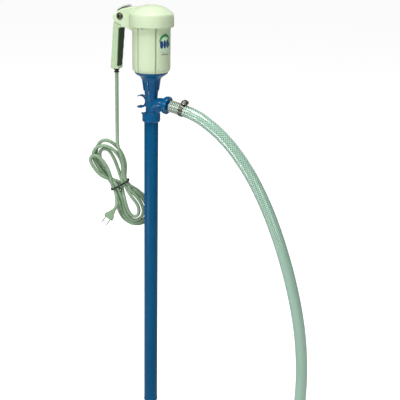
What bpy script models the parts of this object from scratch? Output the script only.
"""Electric drum and container pump: motor head, folding grip, immersion tube, braided hose and power cord.

Metres, +Z up. The origin is the middle of the foot's underside, the tube stands on +Z, the outlet
points to +X and the grip hangs on the -X side, so the pump without its cord is the same on both sides of Y=0.
"""

import math

import bmesh
import bpy
from mathutils import Matrix, Vector

# ---- driving dimensions ------------------------------------------------------------------------
GAP = 0.0003  # air between two pieces that touch
STEPS = 28  # sides of a large round piece
FEW_STEPS = 16  # sides of a small or hidden round piece

TUBE_R = 0.016
TUBE_WALL = 0.0025
TUBE_BORE = TUBE_R - TUBE_WALL
FOOT_R = 0.0164
FOOT_H = 0.006
FOOT_HUB_R = 0.005
IMMERSION = 0.700  # from the foot to the collar under the outlet

COLLAR_R = 0.0205
COLLAR_TOP = IMMERSION + 0.019
TUBE_TOP = IMMERSION + 0.0105
ELBOW_R = 0.0118
ELBOW_BEND = 0.0239
OUTLET_DROP = math.radians(10)  # the outlet points this far below +X
OUTLET_FACE = Vector((0.0443, 0, 0.7397))  # middle of the union nut's outer face
OUTLET = Matrix.Translation(OUTLET_FACE) @ Matrix.Rotation(math.pi / 2 + OUTLET_DROP, 4, "Y")
OUTLET_BORE = 0.008
THREAD_R = 0.0160
BOWL_TOP = 0.8133
BOWL_R = 0.0374

NUT_LENGTH = 0.0134
NUT_R = 0.0204
NIPPLE_R = 0.0094
NIPPLE_LENGTH = 0.0040
HOSE_R = 0.0135
HOSE_RING = 253  # degrees of the ring that the hose's free end makes on the floor
HOSE_STEP = 0.030
CLAMP_BAND_W = 0.009

CLIP_X = -0.0250  # middle of the C-shaped nozzle clip on the neck
CLIP_Z = 0.7455
CLIP_R = 0.0112
CLIP_WALL = 0.0026
CLIP_HALF_WIDTH = 0.006

SHAFT_R = 0.004
GUARD_R = 0.0075
GUARD_BORE = 0.006
MOTOR_SHAFT_R = 0.005
MOTOR_R = 0.04265
MOTOR_WALL = 0.0026
MOTOR_FOOT = BOWL_TOP + GAP
MOTOR_TOP = 0.918
PANELS = 6
FIRST_GROOVE = math.radians(-48.75)
GROOVE_W = 0.0034
GROOVE_DEPTH = 0.0012

CAP_R = 0.0503
CAP_RIM = 0.9145
CAP_TOP = 0.962
CAP_WALL = 0.0027

PIVOT = Vector((-0.0730, 0, 0.9340))  # hinge of the grip, axis along Y
EAR_R = 0.0185
ARM_HALF_WIDTH = 0.013
FORK_HALF_WIDTH = 0.0072
TONGUE_R = 0.0095
RECESS_R = 0.0084
GRIP_FOOT = 0.8145
GRIP_TAPER = 0.75  # width at the grip's foot over its width at the top
GRIP_TOP = 0.922

SWITCH_PIVOT = Vector((-0.0684, 0, 0.9517))
SWITCH_HALF_WIDTH = 0.008

GLAND_X = -0.0887
GLAND_FOOT = 0.8055
CORD_R = 0.004
CORD_PIVOT = Vector((GLAND_X, 0, GLAND_FOOT - GAP - CORD_R))

HANK_TURN = math.radians(27)  # the hank hangs in an upright plane, turned this far from XZ
HANK_RIGHT = Vector((math.cos(HANK_TURN), math.sin(HANK_TURN), 0))
HANK_BACK = Vector((-math.sin(HANK_TURN), math.cos(HANK_TURN), 0))
HANK_TILT = math.radians(29.8)  # its long axis leans from upright
HANK_DOWN = HANK_RIGHT * math.sin(HANK_TILT) - Vector((0, 0, math.cos(HANK_TILT)))
HANK_SIDE = HANK_RIGHT * math.cos(HANK_TILT) + Vector((0, 0, math.sin(HANK_TILT)))
HANK_MIDDLE = HANK_RIGHT * -0.073 + HANK_BACK * 0.038 + Vector((0, 0, 0.540))
HANK_DEPTH = 0.0262  # three strands deep
HANK_WAIST = 0.0412  # five strands wide where it is tied
TIE_R = 0.0016

PLUG_DOWN = (HANK_RIGHT * -0.575 + Vector((0, 0, -0.818))).normalized()
PLUG_SIDE = (HANK_RIGHT * 0.818 + Vector((0, 0, -0.575))).normalized()
PLUG_TOP = HANK_RIGHT * -0.0890 + HANK_BACK * 0.020 + Vector((0, 0, 0.4800))

BLUE = ("blue_polypropylene", (0.008, 0.10, 0.27), 0.36, 0.0)
CREAM = ("cream_abs", (0.74, 0.83, 0.64), 0.42, 0.0)
BLACK = ("black_rubber", (0.012, 0.014, 0.012), 0.62, 0.0)
DARK = ("dark_plastic", (0.02, 0.028, 0.02), 0.5, 0.0)
GREY = ("grey_plastic", (0.52, 0.54, 0.5), 0.45, 0.0)
STEEL = ("stainless_steel", (0.6, 0.6, 0.58), 0.3, 1.0)
BRASS = ("brass", (0.7, 0.52, 0.26), 0.32, 1.0)
LAMINATION = ("motor_iron", (0.28, 0.28, 0.29), 0.5, 1.0)
COPPER = ("enamelled_copper", (0.55, 0.22, 0.09), 0.35, 1.0)
CARBON = ("carbon", (0.03, 0.03, 0.03), 0.7, 0.0)
SEAL = ("seal_rubber", (0.02, 0.02, 0.02), 0.7, 0.0)
POLYMER = ("white_polymer", (0.8, 0.8, 0.76), 0.45, 0.0)
HOSE = ("braided_pvc", (0.50, 0.66, 0.58), 0.25, 0.0)
CORD = ("cord_sheath", (0.46, 0.60, 0.48), 0.42, 0.0)
BADGE = ("badge_film", (0.16, 0.48, 0.36), 0.3, 0.0)


WINDING_ENDS = (
    ("winding_low", 0.8310, 0.8420 - GAP),
    ("winding_high", 0.8820 + GAP, 0.8920),
)


# ---- helpers -----------------------------------------------------------------------------------
def clear_scene():
    for obj in list(bpy.data.objects):
        bpy.data.objects.remove(obj)


def new_collection(name):
    collection = bpy.data.collections.new(name)
    bpy.context.scene.collection.children.link(collection)
    return collection


def finish(obj, look, parent=None):
    """Gives the object its material, its collection and smooth round faces."""
    name, colour, roughness, metallic = look
    material = bpy.data.materials.get(name)
    if material is None:
        material = bpy.data.materials.new(name)
        material.use_nodes = True
        shader = material.node_tree.nodes["Principled BSDF"]
        shader.inputs["Base Color"].default_value = (*colour, 1)
        shader.inputs["Roughness"].default_value = roughness
        shader.inputs["Metallic"].default_value = metallic
    obj.data.materials.clear()
    obj.data.materials.append(material)
    PARTS.objects.link(obj)
    if obj.type == "MESH":
        obj.data.shade_smooth()
        obj.data.set_sharp_from_angle(angle=math.radians(35))
    if parent is not None:
        obj.parent = parent
        obj.matrix_parent_inverse = parent.matrix_world.inverted()
    return obj


def hide_cutter(obj):
    obj.hide_render = True
    obj.display_type = "WIRE"
    CUTTERS.objects.link(obj)
    return obj


def joint_axis(name, place):
    """An empty on a joint's axis: the pieces that move with the joint are its children."""
    empty = bpy.data.objects.new(name, None)
    empty.location = place
    PARTS.objects.link(empty)
    bpy.context.view_layer.update()
    return empty


def mesh_object(name, shape):
    mesh = bpy.data.meshes.new(name)
    shape.to_mesh(mesh)
    shape.free()
    return bpy.data.objects.new(name, mesh)


def turned(name, profile, steps=STEPS, closed=True):
    """A profile of (radius, height) points, top to bottom on its outer side, spun by a Screw modifier."""
    shape = bmesh.new()
    points = [shape.verts.new((radius, 0, height)) for radius, height in profile]
    for first, second in zip(points, points[1:]):
        shape.edges.new((first, second))
    if closed:
        shape.edges.new((points[-1], points[0]))
    obj = mesh_object(name, shape)
    screw = obj.modifiers.new("Screw", "SCREW")
    screw.axis = "Z"
    screw.steps = steps
    screw.render_steps = steps
    screw.use_merge_vertices = True
    screw.merge_threshold = 0.0001
    return obj


def ring(inner, outer, low, high):
    """The closed profile of a plain ring."""
    return [(outer, high), (outer, low), (inner, low), (inner, high)]


def block(size, centre, turn=None):
    shape = bmesh.new()
    bmesh.ops.create_cube(shape, size=1)
    bmesh.ops.scale(shape, vec=size, verts=shape.verts)
    if turn is not None:
        bmesh.ops.rotate(shape, cent=(0, 0, 0), matrix=turn, verts=shape.verts)
    bmesh.ops.translate(shape, vec=centre, verts=shape.verts)
    return shape


def rod(radius, start, end, sides=FEW_STEPS, end_radius=None):
    """A solid cylinder or cone between two points."""
    start = Vector(start)
    end = Vector(end)
    run = end - start
    shape = bmesh.new()
    bmesh.ops.create_cone(
        shape,
        cap_ends=True,
        segments=sides,
        radius1=radius,
        radius2=radius if end_radius is None else end_radius,
        depth=run.length,
    )
    turn = run.to_track_quat("Z", "Y").to_matrix()
    bmesh.ops.rotate(shape, cent=(0, 0, 0), matrix=turn, verts=shape.verts)
    bmesh.ops.translate(shape, vec=(start + end) / 2, verts=shape.verts)
    return shape


def outlined(name, points, half_width, middle=0.0):
    """A flat outline of (X, Z) points, extruded along Y to both sides of its middle, as a mesh."""
    curve = bpy.data.curves.new(name, "CURVE")
    curve.dimensions = "2D"
    curve.fill_mode = "BOTH"
    curve.extrude = half_width
    spline = curve.splines.new("POLY")
    spline.points.add(len(points) - 1)
    for point, (x, z) in zip(spline.points, points):
        point.co = (x, z, 0, 1)
    spline.use_cyclic_u = True
    guide = bpy.data.objects.new(name + "_outline", curve)
    guide.rotation_euler = (math.pi / 2, 0, 0)
    guide.location = (0, middle, 0)
    return as_mesh(guide, name)


def as_mesh(guide, name):
    """The evaluated mesh of a curve object, with its caps welded on and its place applied."""
    bpy.context.scene.collection.objects.link(guide)
    bpy.context.view_layer.update()
    graph = bpy.context.evaluated_depsgraph_get()
    mesh = bpy.data.meshes.new_from_object(guide.evaluated_get(graph))
    mesh.transform(guide.matrix_world)
    shape = bmesh.new()
    shape.from_mesh(mesh)
    bmesh.ops.remove_doubles(shape, verts=shape.verts, dist=0.00001)
    bmesh.ops.recalc_face_normals(shape, faces=shape.faces)
    bpy.data.meshes.remove(mesh)
    bpy.data.objects.remove(guide)
    return mesh_object(name, shape)


def arc(centre, radius, start, end, count):
    """Points on a circle in the XZ plane, with angles in degrees from +X towards +Z."""
    points = []
    for i in range(count + 1):
        angle = math.radians(start + (end - start) * i / count)
        points.append((centre[0] + radius * math.cos(angle), centre[1] + radius * math.sin(angle)))
    return points


def smooth_path(route, spacing):
    """Evenly spaced points on the Catmull-Rom curve through a route's own points."""
    ends = [route[0] * 2 - route[1], *route, route[-1] * 2 - route[-2]]
    fine = []
    for before, first, second, after in zip(ends, ends[1:], ends[2:], ends[3:]):
        for i in range(24):
            t = i / 24
            fine.append(
                0.5
                * (
                    2 * first
                    + (second - before) * t
                    + (2 * before - 5 * first + 4 * second - after) * t * t
                    + (3 * first - before - 3 * second + after) * t * t * t
                )
            )
    fine.append(route[-1])
    lengths = [0.0]
    for first, second in zip(fine, fine[1:]):
        lengths.append(lengths[-1] + (second - first).length)
    count = max(2, round(lengths[-1] / spacing))
    points = []
    place = 0
    for i in range(count + 1):
        wanted = lengths[-1] * i / count
        while place < len(fine) - 2 and lengths[place + 1] < wanted:
            place += 1
        step = lengths[place + 1] - lengths[place]
        points.append(fine[place].lerp(fine[place + 1], (wanted - lengths[place]) / step))
    return points


def tube_curve(name, points, radius, resolution=4, radii=None):
    """A round bar along a line of points, as a curve object with filled caps."""
    curve = bpy.data.curves.new(name, "CURVE")
    curve.dimensions = "3D"
    curve.bevel_depth = radius
    curve.bevel_resolution = resolution
    curve.use_fill_caps = True
    spline = curve.splines.new("POLY")
    spline.points.add(len(points) - 1)
    for i, (point, place) in enumerate(zip(spline.points, points)):
        point.co = (*place, 1)
        point.radius = 1 if radii is None else radii[i]
    return bpy.data.objects.new(name, curve)


def change(target, other, operation):
    modifier = target.modifiers.new(operation.title() + " " + other.name, "BOOLEAN")
    modifier.operation = operation
    modifier.object = hide_cutter(other)
    return target


def cut(target, other):
    return change(target, other, "DIFFERENCE")


def join(target, other):
    return change(target, other, "UNION")


def round_edges(obj, width, segments=2, angle=35):
    bevel = obj.modifiers.new("Bevel", "BEVEL")
    bevel.width = width
    bevel.segments = segments
    bevel.limit_method = "ANGLE"
    bevel.angle_limit = math.radians(angle)
    return obj


# ---- immersion tube ----------------------------------------------------------------------------
def make_outer_tube():
    finish(turned("outer_tube", ring(TUBE_BORE, TUBE_R, FOOT_H + GAP, TUBE_TOP)), BLUE)


def make_foot_strainer():
    """A ring that closes the tube's end, with four inlets round a flat hub."""
    opening = 0.0105
    spigot_r = TUBE_BORE - GAP
    spigot_top = 0.018
    profile = [
        (spigot_r, spigot_top),
        (spigot_r, FOOT_H),
        (FOOT_R, FOOT_H),
        (FOOT_R, 0.001),
        (FOOT_R - 0.001, 0),
        (opening, 0),
        (opening, spigot_top),
    ]
    foot = turned("foot_strainer", profile)
    spoke = Vector((2 * opening + 0.003, 0.003, 0.003))
    middle = Vector((0, 0, 0.003))
    for i in range(2):
        turn = Matrix.Rotation(math.radians(45 + 90 * i), 3, "Z")
        join(foot, mesh_object(f"foot_spoke_{i}", block(spoke, middle, turn)))
    join(foot, mesh_object("foot_hub", rod(FOOT_HUB_R, (0, 0, 0), (0, 0, 0.0055))))
    finish(foot, BLUE)


def make_impeller():
    """Four pitched blades on a hub that is bored for the shaft."""
    low = 0.022
    high = 0.046
    blade_length = 0.0064
    blade_middle = 0.0084
    impeller = mesh_object("impeller", rod(0.0068, (0, 0, low), (0, 0, high)))
    for i in range(4):
        around = Matrix.Rotation(math.radians(90 * i), 3, "Z")
        pitched = around @ Matrix.Rotation(math.radians(38), 3, "X")
        centre = around @ Vector((blade_middle, 0, (low + high) / 2))
        blade = block((blade_length, 0.0016, 0.016), centre, pitched)
        join(impeller, mesh_object(f"impeller_blade_{i}", blade))
    bore = rod(SHAFT_R + GAP, (0, 0, low - 0.001), (0, 0, high + 0.001))
    cut(impeller, mesh_object("impeller_bore", bore))
    finish(impeller, POLYMER, ROTOR)


def make_shaft_train():
    shaft = rod(SHAFT_R, (0, 0, 0.024), (0, 0, 0.776 - GAP))
    finish(mesh_object("drive_shaft", shaft), STEEL, ROTOR)
    finish(turned("shaft_guard", ring(GUARD_BORE, GUARD_R, 0.050, 0.7445), FEW_STEPS), BLUE)
    length = 0.014
    for name, low in (("bush_low", 0.056), ("bush_middle", 0.390), ("bush_high", 0.724)):
        bush = turned(name, ring(SHAFT_R + GAP, GUARD_BORE - GAP, low, low + length), 16)
        finish(bush, POLYMER)


def make_tube_spacers():
    """Three-armed spiders that hold the shaft guard in the middle of the tube."""
    arm = Vector((TUBE_BORE - GAP - 0.009, 0.002, 0.010))
    middle = 0.009 + arm.x / 2
    for number, low in enumerate((0.12, 0.42)):
        name = "spacer_low" if number == 0 else "spacer_high"
        spider = turned(name, ring(GUARD_R + GAP, 0.0098, low, low + arm.z), FEW_STEPS)
        for i in range(3):
            turn = Matrix.Rotation(math.radians(120 * i), 3, "Z")
            centre = turn @ Vector((middle, 0, low + arm.z / 2))
            join(spider, mesh_object(f"{name}_arm_{i}", block(arm, centre, turn)))
        finish(spider, POLYMER)


# ---- pump head and outlet ----------------------------------------------------------------------
def elbow_route():
    """The outlet's line: up from the collar, round the bend and out to the union."""
    route = [Vector((0, 0, COLLAR_TOP - 0.006))]
    for x, z in arc((ELBOW_BEND, COLLAR_TOP), ELBOW_BEND, 180, 90 - math.degrees(OUTLET_DROP), 9):
        route.append(Vector((x, 0, z)))
    route.append(OUTLET @ Vector((0, 0, -0.0090)))
    return route


def make_pump_head():
    """Collar, neck and bowl in one moulding, with the elbow, eight gussets and the nozzle clip on it."""
    neck = [
        (0, BOWL_TOP),
        (BOWL_R, BOWL_TOP),
        (BOWL_R - 0.0006, 0.8118),
        (0.0338, 0.8080),
        (0.0290, 0.8052),
        (0.0245, 0.8028),
        (0.0212, 0.7992),
        (0.0192, 0.7930),
        (0.0176, 0.7830),
        (0.0160, 0.7700),
        (0.0143, 0.7520),
        (0.0131, 0.7400),
        (0.0124, 0.7220),
        (0.0124, COLLAR_TOP),
        (COLLAR_R - 0.0018, COLLAR_TOP),
        (COLLAR_R, COLLAR_TOP - 0.0016),
        (COLLAR_R, IMMERSION + 0.0012),
        (COLLAR_R - 0.0032, IMMERSION - 0.0020),
        (0, IMMERSION - 0.0020),
    ]
    head = turned("pump_head", neck, closed=False)
    join(head, as_mesh(tube_curve("elbow", elbow_route(), ELBOW_R, 6), "elbow"))
    thread = rod(THREAD_R, (0, 0, 0.0005 - NUT_LENGTH), (0, 0, -0.0072), STEPS)
    thread.transform(OUTLET)
    join(head, mesh_object("outlet_thread", thread))
    gusset = [(0.0100, 0.8100), (0.0340, 0.8100), (0.0240, 0.8015), (0.0198, 0.7850), (0.0158, 0.7560), (0.0100, 0.7560)]
    for i in range(8):
        web = outlined(f"gusset_{i}", gusset, 0.0011)
        web.data.transform(Matrix.Rotation(math.radians(45 * i), 4, "Z"))
        join(head, web)
    for piece in clip_horns():
        join(head, piece)
    lug = block((0.008, 0.005, 0.0034), (-0.0210, 0, COLLAR_TOP - 0.0022))
    join(head, mesh_object("collar_lug", lug))

    socket = rod(TUBE_R + GAP, (0, 0, IMMERSION - 0.004), (0, 0, TUBE_TOP + GAP), STEPS)
    cut(head, mesh_object("tube_socket", socket))
    chamber = rod(0.0105, (0, 0, TUBE_TOP - 0.002), (0, 0, 0.7305), FEW_STEPS)
    cut(head, mesh_object("head_chamber", chamber))
    seal_seat = rod(0.0085, (0, 0, 0.7300), (0, 0, 0.7750), FEW_STEPS)
    cut(head, mesh_object("seal_seat", seal_seat))
    coupling_room = rod(0.0152, (0, 0, 0.7740), (0, 0, BOWL_TOP + 0.002), STEPS)
    cut(head, mesh_object("coupling_room", coupling_room))
    channel = rod(OUTLET_BORE, (0, 0, -0.0400), (0, 0, 0.0010), FEW_STEPS)
    channel.transform(OUTLET)
    cut(head, mesh_object("outlet_channel", channel))
    finish(head, BLUE)


def clip_horns():
    """The C-shaped clip for the idle nozzle: an upper horn that thins to a lip, and a pointed lower one."""
    centre = (CLIP_X, CLIP_Z)
    upper = arc(centre, CLIP_R + CLIP_WALL, -8, 128, 12)
    upper += arc(centre, CLIP_R, 132, -8, 12)
    lower = arc(centre, CLIP_R, 8, -112, 10)
    lower += [(-0.0352, 0.7326), (-0.0300, 0.7291), (-0.0240, 0.7288), (-0.0185, 0.7308), (-0.0120, 0.7350)]
    lower += [(-0.0110, 0.7480)]
    return [
        outlined("clip_upper_horn", upper, CLIP_HALF_WIDTH),
        outlined("clip_lower_horn", lower, CLIP_HALF_WIDTH),
    ]


def make_union():
    """Round nut, the flat gasket under it and the hose nipple that it clamps."""
    lip = 0.0026
    seat = -0.0072
    root = NIPPLE_R + GAP
    inner = THREAD_R + GAP
    profile = [
        (root, 0),
        (NUT_R - 0.0016, 0),
        (NUT_R, -0.0016),
        (NUT_R, 0.0016 - NUT_LENGTH),
        (NUT_R - 0.0016, -NUT_LENGTH),
        (inner, -NUT_LENGTH),
        (inner, -lip),
        (root, -lip),
    ]
    nut = turned("union_nut", profile, 36)
    nut.matrix_world = OUTLET
    finish(nut, BLUE, NUT_AXIS)

    flange_r = THREAD_R - 0.0004
    thick = 0.0018
    gasket = turned("nut_gasket", ring(OUTLET_BORE, flange_r, seat + GAP, seat + GAP + thick), 24)
    gasket.matrix_world = OUTLET
    finish(gasket, SEAL)

    low = seat + thick + 2 * GAP
    profile = [
        (OUTLET_BORE, NIPPLE_LENGTH),
        (NIPPLE_R, NIPPLE_LENGTH),
        (NIPPLE_R, -lip - GAP),
        (flange_r, -lip - GAP),
        (flange_r, low),
        (OUTLET_BORE, low),
    ]
    nipple = turned("hose_nipple", profile, 24)
    nipple.matrix_world = OUTLET
    finish(nipple, BLUE)


def hose_route():
    """Out of the nipple, over in a long fall, then round on the floor beside the foot."""
    fall = [
        (0.0913, 0.7296),
        (0.1101, 0.7233),
        (0.1274, 0.7155),
        (0.1591, 0.6958),
        (0.1874, 0.6725),
        (0.2123, 0.6467),
        (0.2451, 0.6042),
        (0.2729, 0.5585),
        (0.2972, 0.5102),
        (0.3182, 0.4604),
        (0.3369, 0.4089),
        (0.3533, 0.3555),
        (0.3674, 0.2998),
        (0.3781, 0.2417),
        (0.3845, 0.1812),
    ]
    route = [OUTLET @ Vector((0, 0, NIPPLE_LENGTH + GAP)), OUTLET @ Vector((0, 0, 0.020))]
    route += [Vector((x, 0, z)) for x, z in fall]
    floor = HOSE_R + GAP
    heading = math.radians(-78)
    bend = 0.124
    ahead = Vector((math.cos(heading), math.sin(heading), 0))
    top = Vector((0.3862, 0, floor + bend))
    for i in range(5):
        angle = math.radians(22.5 * i)
        along = ahead * bend * (1 - math.cos(angle))
        route.append(top + along - Vector((0, 0, bend * math.sin(angle))))
    radius = 0.128
    hub = route[-1] + Vector((math.sin(heading), -math.cos(heading), 0)) * radius
    start = math.atan2(route[-1].y - hub.y, route[-1].x - hub.x)
    for i in range(1, 12):
        angle = start - math.radians(HOSE_RING) * i / 11
        route.append(Vector((hub.x + radius * math.cos(angle), hub.y + radius * math.sin(angle), floor)))
    return route


def make_hose():
    points = smooth_path(hose_route(), HOSE_STEP)
    finish(tube_curve("hose", points, HOSE_R, 4), HOSE)
    return points[:3]


def make_clamp(before, middle, after):
    """Worm-drive clamp on the hose's second point: band, screw housing on top of it and the screw."""
    ahead = after - before
    lean = math.atan2(-ahead.z, ahead.x)
    frame = Matrix.Translation(middle) @ Matrix.Rotation(lean, 4, "Y")
    inner = HOSE_R + 0.0006
    half = CLAMP_BAND_W / 2
    band = turned("clamp_band", ring(inner, inner + 0.0009, -half, half), 28)
    band.matrix_world = frame @ Matrix.Rotation(math.pi / 2, 4, "Y")
    finish(band, STEEL)
    seat = inner + 0.0009 + GAP
    housing = mesh_object("clamp_housing", block((0.0125, 0.013, 0.0085), (0.0030, 0, seat + 0.00425)))
    round_edges(housing, 0.0018)
    worm = rod(0.0034 + GAP, (0.0030, -0.010, seat + 0.0045), (0.0030, 0.010, seat + 0.0045), 16)
    cut(housing, mesh_object("clamp_bore", worm))
    housing.matrix_world = frame
    bpy.data.objects["clamp_bore"].matrix_world = frame
    finish(housing, STEEL)
    centre = frame @ Vector((0.0030, 0, seat + 0.0045))
    screw = mesh_object("clamp_screw", rod(0.0034, (0, -0.0068, 0), (0, 0.0068, 0), 16))
    join(screw, mesh_object("clamp_screw_head", rod(0.0042, (0, -0.0105, 0), (0, -0.0066, 0), 6)))
    slot = block((0.0075, 0.003, 0.001), (0, -0.0110, 0))
    cut(screw, mesh_object("clamp_screw_slot", slot))
    for name in ("clamp_screw", "clamp_screw_head", "clamp_screw_slot"):
        piece = screw if name == "clamp_screw" else bpy.data.objects[name]
        piece.location = centre
    finish(screw, STEEL, joint_axis("clamp_axis", centre))


# ---- coupling, bearings and motor ---------------------------------------------------------------
def make_seal_and_couplings():
    finish(turned("shaft_seal", ring(SHAFT_R + GAP, 0.0082, 0.7530, 0.7610), FEW_STEPS), SEAL)
    for name, low, tooth_low, turn in (
        ("coupling_driven", 0.7760, 0.7820, 0),
        ("coupling_driver", 0.7925, 0.7842, 90),
    ):
        disc = mesh_object(name, rod(0.0100, (0, 0, low), (0, 0, low + 0.0075)))
        for i in range(2):
            around = Matrix.Rotation(math.radians(turn + 180 * i), 3, "Z")
            centre = around @ Vector((0.0062, 0, tooth_low + 0.0048))
            tooth = block((0.0056, 0.0060, 0.0096), centre, around)
            join(disc, mesh_object(f"{name}_tooth_{i}", tooth))
        finish(disc, POLYMER, ROTOR)


def make_bearings():
    inner = MOTOR_SHAFT_R + GAP
    finish(turned("lower_bearing", ring(inner, 0.0110, 0.8042, 0.8122), FEW_STEPS), STEEL)
    finish(turned("upper_bearing", ring(inner, 0.0110, 0.9125, 0.9205), FEW_STEPS), STEEL)
    bracket = [
        (0.0145, 0.9220),
        (0.0145, 0.9125),
        (0.0396, 0.9125),
        (0.0396, 0.9095),
        (0.0085, 0.9095),
        (0.0085, 0.9122),
        (0.0113, 0.9122),
        (0.0113, 0.9220),
    ]
    finish(turned("bearing_bracket", bracket), POLYMER)


def make_rotor():
    shaft = rod(MOTOR_SHAFT_R, (0, 0, 0.8000 + GAP), (0, 0, 0.9380))
    finish(mesh_object("motor_shaft", shaft), STEEL, ROTOR)
    inner = MOTOR_SHAFT_R + GAP
    finish(turned("armature_core", ring(inner, 0.0225, 0.8420, 0.8820), 28), LAMINATION, ROTOR)
    for name, low, high in WINDING_ENDS:
        finish(turned("armature_" + name, ring(inner, 0.0195, low, high), FEW_STEPS), COPPER, ROTOR)
    finish(turned("commutator", ring(inner, 0.0110, 0.8935, 0.9070), 24), COPPER, ROTOR)
    fan = turned("cooling_fan", ring(inner, 0.0090, 0.9250, 0.9360), 24)
    for i in range(7):
        around = Matrix.Rotation(math.tau * i / 7, 3, "Z")
        pitched = around @ Matrix.Rotation(math.radians(40), 3, "X")
        centre = around @ Vector((0.0200, 0, 0.9305))
        join(fan, mesh_object(f"fan_blade_{i}", block((0.0245, 0.0012, 0.0100), centre, pitched)))
    finish(fan, POLYMER, ROTOR)


def make_stator():
    finish(turned("stator_core", ring(0.0240, 0.0370, 0.8420, 0.8820), 28), LAMINATION)
    for name, low, high in WINDING_ENDS:
        finish(turned("stator_" + name, ring(0.0250, 0.0350, low, high), FEW_STEPS), COPPER)
    for name, side in (("front", -1), ("back", 1)):
        brush = block((0.0040, 0.0060, 0.0070), (0, side * (0.0110 + GAP + 0.0030), 0.9003))
        finish(mesh_object("carbon_brush_" + name, brush), CARBON)
        holder = block((0.0080, 0.0150, 0.0100), (0, side * (0.0176 + 0.0075), 0.9003))
        finish(mesh_object("brush_holder_" + name, holder), BRASS)


def make_motor_housing():
    """Drum of the motor with six shallow grooves, and the nose that drops into the bowl."""
    inner = MOTOR_R - MOTOR_WALL
    profile = [
        (MOTOR_R, MOTOR_TOP),
        (MOTOR_R, 0.8235),
        (MOTOR_R - 0.0007, 0.8190),
        (MOTOR_R - 0.0026, 0.8155),
        (MOTOR_R - 0.0051, MOTOR_FOOT),
        (0.0149, MOTOR_FOOT),
        (0.0149, 0.8015),
        (0.0113, 0.8015),
        (0.0113, 0.8125),
        (0.0085, 0.8125),
        (0.0085, 0.8165),
        (inner - 0.0040, 0.8165),
        (inner, 0.8210),
        (inner, MOTOR_TOP),
    ]
    housing = turned("motor_housing", profile, 40)
    for i in range(PANELS):
        turn = Matrix.Rotation(FIRST_GROOVE + math.tau * i / PANELS, 3, "Z")
        size = (2 * GROOVE_DEPTH, GROOVE_W, 0.100)
        centre = turn @ Vector((MOTOR_R, 0, 0.8255 + 0.050))
        cut(housing, mesh_object(f"groove_{i}", block(size, centre, turn)))
    finish(housing, CREAM)


def cap_profile(inset):
    """The cap's outside from its top to its rim, or a surface that lies inside it by inset."""
    shoulder = [(0, 0), (0.0150, 0.0008), (0.0280, 0.0038), (0.0385, 0.0102), (0.0443, 0.0150), (0.0476, 0.0186)]
    points = [(radius * (1 - inset / CAP_R), CAP_TOP - inset - drop) for radius, drop in shoulder]
    points.append((CAP_R - inset - 0.0008, CAP_TOP - 0.0240))
    points.append((CAP_R - inset, CAP_TOP - 0.0320))
    return points


def arm_outline():
    """Side view of the arm, from the dome's top out to the hinge ears and back under to the gusset."""
    top = [(-0.0200, 0.9556), (-0.0525, 0.9548), (-0.0664, 0.9512), (-0.0704, 0.9500), (-0.0837, 0.9410)]
    knuckle = arc((PIVOT.x, PIVOT.z), EAR_R, 180, 270, 9)
    knuckle[0] = (-0.0903, 0.9348)
    under = [(-0.0712, 0.9155), (-0.0712, 0.9096), (-0.0620, 0.9096), (-0.0545, 0.9085), (-0.0490, 0.9060)]
    gusset = [(-0.0462, 0.9035), (-0.0400, 0.9035), (-0.0260, 0.9200)]
    return top + knuckle + under + gusset


def make_motor_cap():
    """Domed cap with its overhanging skirt, and the arm that carries the grip, in one moulding."""
    solid = cap_profile(0) + [(CAP_R, CAP_RIM + 0.0035), (CAP_R - 0.0022, CAP_RIM), (0, CAP_RIM)]
    cap = turned("motor_cap", solid, 40, closed=False)
    arm = outlined("cap_arm", arm_outline(), ARM_HALF_WIDTH)
    join(cap, arm)
    floor = CAP_RIM + 0.0026
    hollow = cap_profile(CAP_WALL) + [(CAP_R - CAP_WALL, floor), (MOTOR_R + GAP, floor)]
    hollow += [(MOTOR_R + GAP, CAP_RIM - 0.0130), (0, CAP_RIM - 0.0130)]
    cut(cap, turned("cap_hollow", hollow, 40, closed=False))
    slot = arc((PIVOT.x, PIVOT.z), TONGUE_R + 0.0006, 0, 146, 9)
    slot += [(-0.0930, 0.9400), (-0.0930, 0.9080), (PIVOT.x + TONGUE_R + 0.0006, 0.9080)]
    cut(cap, outlined("fork_slot", slot, FORK_HALF_WIDTH))
    far = 0.020
    seat = 0.0118
    hole = 0.0033
    bolt_way = [(0, far), (RECESS_R, far), (RECESS_R, seat), (hole, seat), (hole, -seat)]
    bolt_way += [(RECESS_R, -seat), (RECESS_R, -far), (0, -far)]
    bolt_cutter = turned("bolt_way", bolt_way, 24, closed=False)
    bolt_cutter.rotation_euler = (math.pi / 2, 0, 0)
    bolt_cutter.location = PIVOT
    cut(cap, bolt_cutter)
    finish(cap, CREAM)


def make_cap_screws():
    """Three screws up into the skirt's lip."""
    for i in range(3):
        angle = math.radians(30 + 120 * i)
        x = 0.0462 * math.cos(angle)
        y = 0.0462 * math.sin(angle)
        screw = rod(0.0019, (x, y, CAP_RIM - GAP - 0.0018), (x, y, CAP_RIM - GAP), 12)
        finish(mesh_object(f"cap_screw_{i + 1}", screw), STEEL)


def make_badge():
    """Upright oval film on the drum: an elliptical prism cut to a thin shell."""
    turn = Matrix.Rotation(FIRST_GROOVE + math.pi / PANELS, 4, "Z")
    badge = turned("badge", ring(MOTOR_R + GAP, MOTOR_R + 0.0010, 0.8560, 0.9070), 72)
    prism = bmesh.new()
    bmesh.ops.create_cone(prism, cap_ends=True, segments=28, radius1=1, radius2=1, depth=0.02)
    bmesh.ops.scale(prism, vec=(0.0215, 0.0180, 1), verts=prism.verts)
    bmesh.ops.rotate(prism, cent=(0, 0, 0), matrix=Matrix.Rotation(math.pi / 2, 3, "Y"), verts=prism.verts)
    bmesh.ops.translate(prism, vec=(MOTOR_R, 0, 0.8815), verts=prism.verts)
    prism.transform(turn)
    change(badge, mesh_object("badge_oval", prism), "INTERSECT")
    finish(badge, BADGE)


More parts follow.
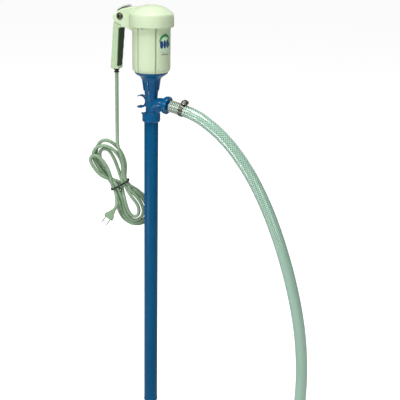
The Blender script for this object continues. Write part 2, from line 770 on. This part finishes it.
# ---- grip, switch and cord ----------------------------------------------------------------------
def narrow_down(obj, top, foot, share):
    """Scales the piece's width along Y evenly, from 1 at the top to share at the foot."""
    for point in obj.data.vertices:
        fall = min(1, max(0, (top - point.co.z) / (top - foot)))
        point.co.y *= 1 + (share - 1) * fall


def make_handle():
    """Grip shell: a tapered bar with a saddle round the ears, a hinge tongue and a trough for the insert."""
    saddle = arc((PIVOT.x, PIVOT.z), EAR_R + 0.0008, 270, 220, 8)
    outline = [*saddle, (-0.0896, 0.9200), (-0.0908, 0.9080), (-0.0991, 0.8175), (-0.0984, 0.8152)]
    outline += [(-0.0962, GRIP_FOOT - 0.0002), (-0.0812, GRIP_FOOT + 0.0002), (-0.0792, 0.8160), (-0.0786, 0.8190)]
    outline += [(-0.0724, 0.9080), (-0.0718, 0.9150)]
    shell = outlined("handle_shell", outline, ARM_HALF_WIDTH)
    narrow_down(shell, GRIP_TOP, GRIP_FOOT, GRIP_TAPER)
    tongue = mesh_object(
        "handle_tongue",
        rod(TONGUE_R, (PIVOT.x, -0.0067, PIVOT.z), (PIVOT.x, 0.0067, PIVOT.z), 24),
    )
    join(shell, tongue)
    web = block((0.0056, 0.0126, 0.0220), (PIVOT.x - 0.0024, 0, PIVOT.z - 0.0110))
    join(shell, mesh_object("handle_web", web))
    pin_hole = rod(0.0033, (PIVOT.x, -0.020, PIVOT.z), (PIVOT.x, 0.020, PIVOT.z), 16)
    cut(shell, mesh_object("tongue_hole", pin_hole))
    trough = outlined("grip_trough", insert_outline(GAP), 0.0106 + GAP)
    narrow_down(trough, GRIP_TOP, GRIP_FOOT, GRIP_TAPER)
    cut(shell, trough)
    gland_hole = rod(0.0050, (GLAND_X, 0, 0.8000), (GLAND_X, 0, 0.8290), 20)
    cut(shell, mesh_object("gland_hole", gland_hole))
    finish(shell, CREAM, HINGE)

    insert = outlined("handle_insert", insert_outline(0), 0.0106)
    narrow_down(insert, GRIP_TOP, GRIP_FOOT, GRIP_TAPER)
    finish(insert, DARK, HINGE)


def insert_outline(grow):
    """Side view of the soft insert on the grip's inner face."""
    return [
        (-0.0722 + 20 * grow, 0.9080 + grow),
        (-0.0784 + 20 * grow, 0.8215 - grow),
        (-0.0836 - grow, 0.8215 - grow),
        (-0.0774 - grow, 0.9080 + grow),
    ]


def make_hinge_hardware():
    """Bolt with a domed head, and the nut at its far end."""
    bolt = mesh_object("hinge_bolt", rod(0.0030, (PIVOT.x, -0.0135, PIVOT.z), (PIVOT.x, 0.0172, PIVOT.z), 16))
    head = bmesh.new()
    bmesh.ops.create_uvsphere(head, u_segments=20, v_segments=10, radius=0.0072)
    bmesh.ops.scale(head, vec=(1, 0.45, 1), verts=head.verts)
    bmesh.ops.bisect_plane(
        head,
        geom=head.verts[:] + head.edges[:] + head.faces[:],
        plane_co=(0, 0, 0),
        plane_no=(0, 1, 0),
        clear_outer=True,
    )
    bmesh.ops.holes_fill(head, edges=head.edges)
    bmesh.ops.recalc_face_normals(head, faces=head.faces)
    bmesh.ops.translate(head, vec=(PIVOT.x, -0.0118 - GAP, PIVOT.z), verts=head.verts)
    join(bolt, mesh_object("hinge_bolt_head", head))
    finish(bolt, STEEL)
    nut = mesh_object("hinge_nut", rod(0.0065, (PIVOT.x, 0.0121, PIVOT.z), (PIVOT.x, 0.0166, PIVOT.z), 6))
    cut(nut, mesh_object("hinge_nut_hole", rod(0.0033, (PIVOT.x, 0.010, PIVOT.z), (PIVOT.x, 0.020, PIVOT.z), 16)))
    finish(nut, STEEL)


def make_switch():
    """Rocker switch on the arm's sloping top: a dark base and a bent grey lever on it."""
    base = [(-0.0830, 0.9420), (-0.0705, 0.9504), (-0.0664, 0.9516), (-0.0535, 0.9549)]
    lift = 0.0016
    outline = [(x, z + GAP) for x, z in base] + [(x, z + GAP + lift) for x, z in reversed(base)]
    finish(outlined("switch_base", outline, SWITCH_HALF_WIDTH - 0.001), DARK)
    clear = (0.0016, 0.0006, 0.0006, 0.0014)
    under = [(x, z + GAP + lift + rest) for (x, z), rest in zip(base, clear)]
    lever = [*under, (-0.0530, 0.9588), (-0.0600, 0.9593), (-0.0672, 0.9572), (-0.0722, 0.9548), (-0.0790, 0.9504)]
    lever += [(-0.0836, 0.9468)]
    finish(outlined("switch_lever", lever, SWITCH_HALF_WIDTH), GREY, SWITCH_AXIS)


def make_gland():
    """Black bush in the grip's foot, waisted where it shows."""
    profile = [
        (0.0046, 0.8270),
        (0.0046, GRIP_FOOT - 0.0006),
        (0.0068, GRIP_FOOT - 0.0010),
        (0.0068, 0.8120),
        (0.0043, 0.8104),
        (0.0043, 0.8086),
        (0.0064, 0.8068),
        (0.0064, GLAND_FOOT),
        (0.0020, GLAND_FOOT),
        (0.0020, 0.8270),
    ]
    gland = turned("cord_gland", profile, 20)
    gland.location = (GLAND_X, 0, 0)
    finish(gland, BLACK, HINGE)


def hank_point(along, side, depth=0.0):
    return HANK_MIDDLE + HANK_DOWN * along + HANK_SIDE * side + HANK_BACK * depth


def make_power_cord():
    """The straight fall from the gland to the hank. Its rounded end stays clear while it swings."""
    outward = (HANK_SIDE * 0.914 - HANK_DOWN * 0.406).normalized()
    face = hank_point(-0.0970, 0.0410)
    route = [CORD_PIVOT, Vector((GLAND_X, 0, 0.7700)), Vector((GLAND_X + 0.0006, 0, 0.7200))]
    route += [face + outward * 0.0340 + Vector((0, 0, 0.0140)), face + outward * 0.0120, face + outward * 2 * GAP]
    points = smooth_path(route, 0.012)
    nose = []
    for lift, share in ((0.0036, 0.436), (0.0026, 0.76), (0.0013, 0.946)):
        nose.append((CORD_PIVOT + Vector((0, 0, lift)), share))
    points = [place for place, share in nose] + points
    radii = [share for place, share in nose] + [1] * (len(points) - len(nose))
    finish(tube_curve("power_cord", points, CORD_R, 2, radii), CORD, CORD_AXIS)


def make_hank():
    """Closed solid round the folded cord: two wide ends and a tied waist."""
    half = HANK_WAIST / 2
    side = [(-0.1160, 0.0240), (-0.1060, 0.0370), (-0.0880, 0.0450), (-0.0450, 0.0450), (-0.0160, 0.0270)]
    side += [(-0.0060, half), (0.0060, half), (0.0300, 0.0300), (0.0600, 0.0390), (0.0850, 0.0370)]
    side += [(0.1040, 0.0240), (0.1130, 0.0020), (0.1120, -0.0180), (0.1020, -0.0330), (0.0780, -0.0420)]
    side += [(0.0450, -0.0370), (0.0160, -0.0255), (0.0060, -half), (-0.0060, -half), (-0.0300, -0.0260)]
    side += [(-0.0700, -0.0330), (-0.0920, -0.0320), (-0.1060, -0.0200), (-0.1160, 0.0010)]
    hank = outlined("cord_hank", side, HANK_DEPTH / 2)
    turn = Matrix((HANK_DOWN, HANK_BACK * -1, HANK_SIDE)).transposed()
    if turn.determinant() < 0:
        turn = Matrix((HANK_DOWN, HANK_BACK, HANK_SIDE)).transposed()
    hank.data.transform(Matrix.Translation(HANK_MIDDLE) @ turn.to_4x4())
    finish(hank, CORD, CORD_AXIS)


def make_tie():
    """Black tie round the hank's waist, a closed rounded loop."""
    clear = TIE_R + GAP
    half_side = HANK_WAIST / 2 + clear
    half_depth = HANK_DEPTH / 2 + clear
    corner = clear
    loop = []
    for quarter in range(4):
        sign_side = 1 if quarter in (0, 3) else -1
        sign_depth = 1 if quarter in (0, 1) else -1
        for i in range(4):
            angle = math.radians(90 * quarter + 30 * i)
            side = sign_side * (half_side - corner) + corner * math.cos(angle)
            depth = sign_depth * (half_depth - corner) + corner * math.sin(angle)
            loop.append(hank_point(0, side, depth))
    curve = bpy.data.curves.new("cord_tie", "CURVE")
    curve.dimensions = "3D"
    curve.bevel_depth = TIE_R
    curve.bevel_resolution = 2
    spline = curve.splines.new("POLY")
    spline.points.add(len(loop) - 1)
    for point, place in zip(spline.points, loop):
        point.co = (*place, 1)
    spline.use_cyclic_u = True
    finish(bpy.data.objects.new("cord_tie", curve), BLACK, CORD_AXIS)


def make_cord_tail():
    """The last stretch, from the hank's front at the tie down to the plug."""
    start = hank_point(0.0100, -0.0150, -HANK_DEPTH / 2 - CORD_R - GAP)
    mid = start.lerp(PLUG_TOP, 0.5) + HANK_RIGHT * -0.0016
    near_plug = PLUG_TOP - PLUG_DOWN * 0.012
    points = smooth_path([start, mid, near_plug, PLUG_TOP - PLUG_DOWN * 2 * GAP], 0.006)
    finish(tube_curve("cord_tail", points, CORD_R, 2), CORD, CORD_AXIS)


def make_plug():
    """Moulded two-pin plug and its flat blades."""
    turn = Matrix((PLUG_SIDE, PLUG_SIDE.cross(PLUG_DOWN) * -1, PLUG_DOWN)).transposed()
    if turn.determinant() < 0:
        turn = Matrix((PLUG_SIDE, PLUG_SIDE.cross(PLUG_DOWN), PLUG_DOWN)).transposed()
    frame = Matrix.Translation(PLUG_TOP) @ turn.to_4x4()
    length = 0.0215
    body = block((0.0225, 0.0150, length), (0, 0, length / 2))
    for point in body.verts:
        if point.co.z < length / 2:
            point.co.x *= 0.46
            point.co.y *= 0.66
    body.transform(frame)
    plug = mesh_object("plug_body", body)
    round_edges(plug, 0.0028)
    finish(plug, CORD, CORD_AXIS)
    for name, side in (("left", -1), ("right", 1)):
        blade = block((0.0015, 0.0063, 0.0170), (side * 0.00635, 0, length + GAP + 0.0085))
        blade.transform(frame)
        finish(mesh_object("plug_blade_" + name, blade), STEEL, CORD_AXIS)


clear_scene()
PARTS = new_collection("drum_pump")
CUTTERS = new_collection("cutters")
ROTOR = joint_axis("rotor_axis", (0, 0, 0.862))
NUT_AXIS = joint_axis("nut_axis", OUTLET_FACE)
HINGE = joint_axis("hinge_axis", PIVOT)
CORD_AXIS = joint_axis("cord_axis", CORD_PIVOT)
SWITCH_AXIS = joint_axis("switch_axis", SWITCH_PIVOT)

make_outer_tube()
make_foot_strainer()
make_impeller()
make_shaft_train()
make_tube_spacers()
make_pump_head()
make_union()
make_clamp(*make_hose())
make_seal_and_couplings()
make_bearings()
make_rotor()
make_stator()
make_motor_housing()
make_motor_cap()
make_cap_screws()
make_badge()
make_handle()
make_hinge_hardware()
make_switch()
make_gland()
make_power_cord()
make_hank()
make_tie()
make_cord_tail()
make_plug()
